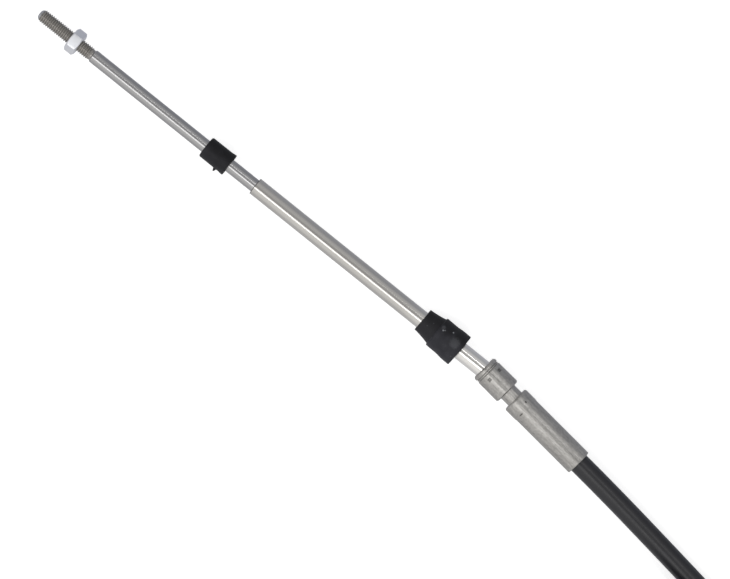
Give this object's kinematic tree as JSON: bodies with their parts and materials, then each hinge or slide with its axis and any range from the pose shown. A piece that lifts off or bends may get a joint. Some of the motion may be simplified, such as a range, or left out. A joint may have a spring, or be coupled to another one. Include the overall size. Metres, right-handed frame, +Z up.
{
  "type": "boat control cable",
  "caption": "Push-pull boat control cable with a swivel sleeve, sliding threaded rod and crimped hub on each end, spare jacket wound up and tied.",
  "frame": {"origin": "on the surface that the cable lies on, under the middle of the engine end's fitting", "axes": "+X along the engine end's hub towards its rod tip, +Z up"},
  "size_m": [0.5338, 0.0871, 0.0291],
  "materials": {
    "rod": "ground stainless steel",
    "nut": "bright zinc plate",
    "sleeve": "drawn stainless steel",
    "hub": "satin crimped stainless steel",
    "rubber": "matte moulded black rubber",
    "jacket": "satin black extruded plastic",
    "tie": "moulded black nylon"
  },
  "bodies": {
    "cable": {"engine_hub": "hub", "jacket_lead": "jacket", "jacket_coil": "jacket", "jacket_tail": "jacket", "hub_tie": "tie", "coil_tie": "tie", "control_hub": "hub"},
    "engine_arm": {"engine_sleeve": "sleeve"},
    "engine_rod_body": {"engine_rod": "rod"},
    "engine_nut_body": {"engine_jam_nut": "nut"},
    "engine_seal_body": {"engine_rod_seal": "rubber"},
    "engine_boot_body": {"engine_boot": "rubber"},
    "control_arm": {"control_sleeve": "sleeve", "control_rod_seal": "rubber"},
    "control_rod_body": {"control_rod": "rod"},
    "control_nut_body": {"control_jam_nut": "nut"},
    "control_boot_body": {"control_boot": "rubber"}
  },
  "joints": [
    {"name": "engine_swivel", "type": "hinge", "parent": "cable", "child": "engine_arm", "pos_m": [-0.07808, -0.00988, 0.00613], "axis": [0, 0, 1], "range_deg": [-14.25, 1.75]},
    {"name": "engine_rod_slide", "type": "slide", "parent": "engine_arm", "child": "engine_rod_body", "axis": [0.9941, 0.1089, 0], "range_m": [-0.0601, 0.0161]},
    {"name": "engine_nut_slide", "type": "slide", "parent": "engine_rod_body", "child": "engine_nut_body", "axis": [0.9941, 0.1089, 0], "range_m": [-0.0049, 0.0132]},
    {"name": "engine_seal_slide", "type": "slide", "parent": "engine_arm", "child": "engine_seal_body", "axis": [0.9941, 0.1089, 0], "range_m": [-0.014, 0.0038]},
    {"name": "engine_boot_slide", "type": "slide", "parent": "engine_arm", "child": "engine_boot_body", "axis": [0.9941, 0.1089, 0], "range_m": [-0.0083, 0.066]},
    {"name": "control_swivel", "type": "hinge", "parent": "cable", "child": "control_arm", "pos_m": [-0.25888, -0.004, 0.02275], "axis": [0, 0, 1], "range_deg": [-8, 8]},
    {"name": "control_rod_slide", "type": "slide", "parent": "control_arm", "child": "control_rod_body", "axis": [-1, 0, 0], "range_m": [-0.0161, 0.0601]},
    {"name": "control_nut_slide", "type": "slide", "parent": "control_rod_body", "child": "control_nut_body", "axis": [-1, 0, 0], "range_m": [-0.0049, 0.0132]},
    {"name": "control_boot_slide", "type": "slide", "parent": "control_arm", "child": "control_boot_body", "axis": [-1, 0, 0], "range_m": [-0.001, 0.072]}
  ],
  "couplings": [
    {"joint": "control_rod_slide", "follows": "engine_rod_slide", "ratio": -1},
    {"joint": "engine_seal_slide", "follows": "engine_rod_slide", "ratio": 0.23}
  ]
}
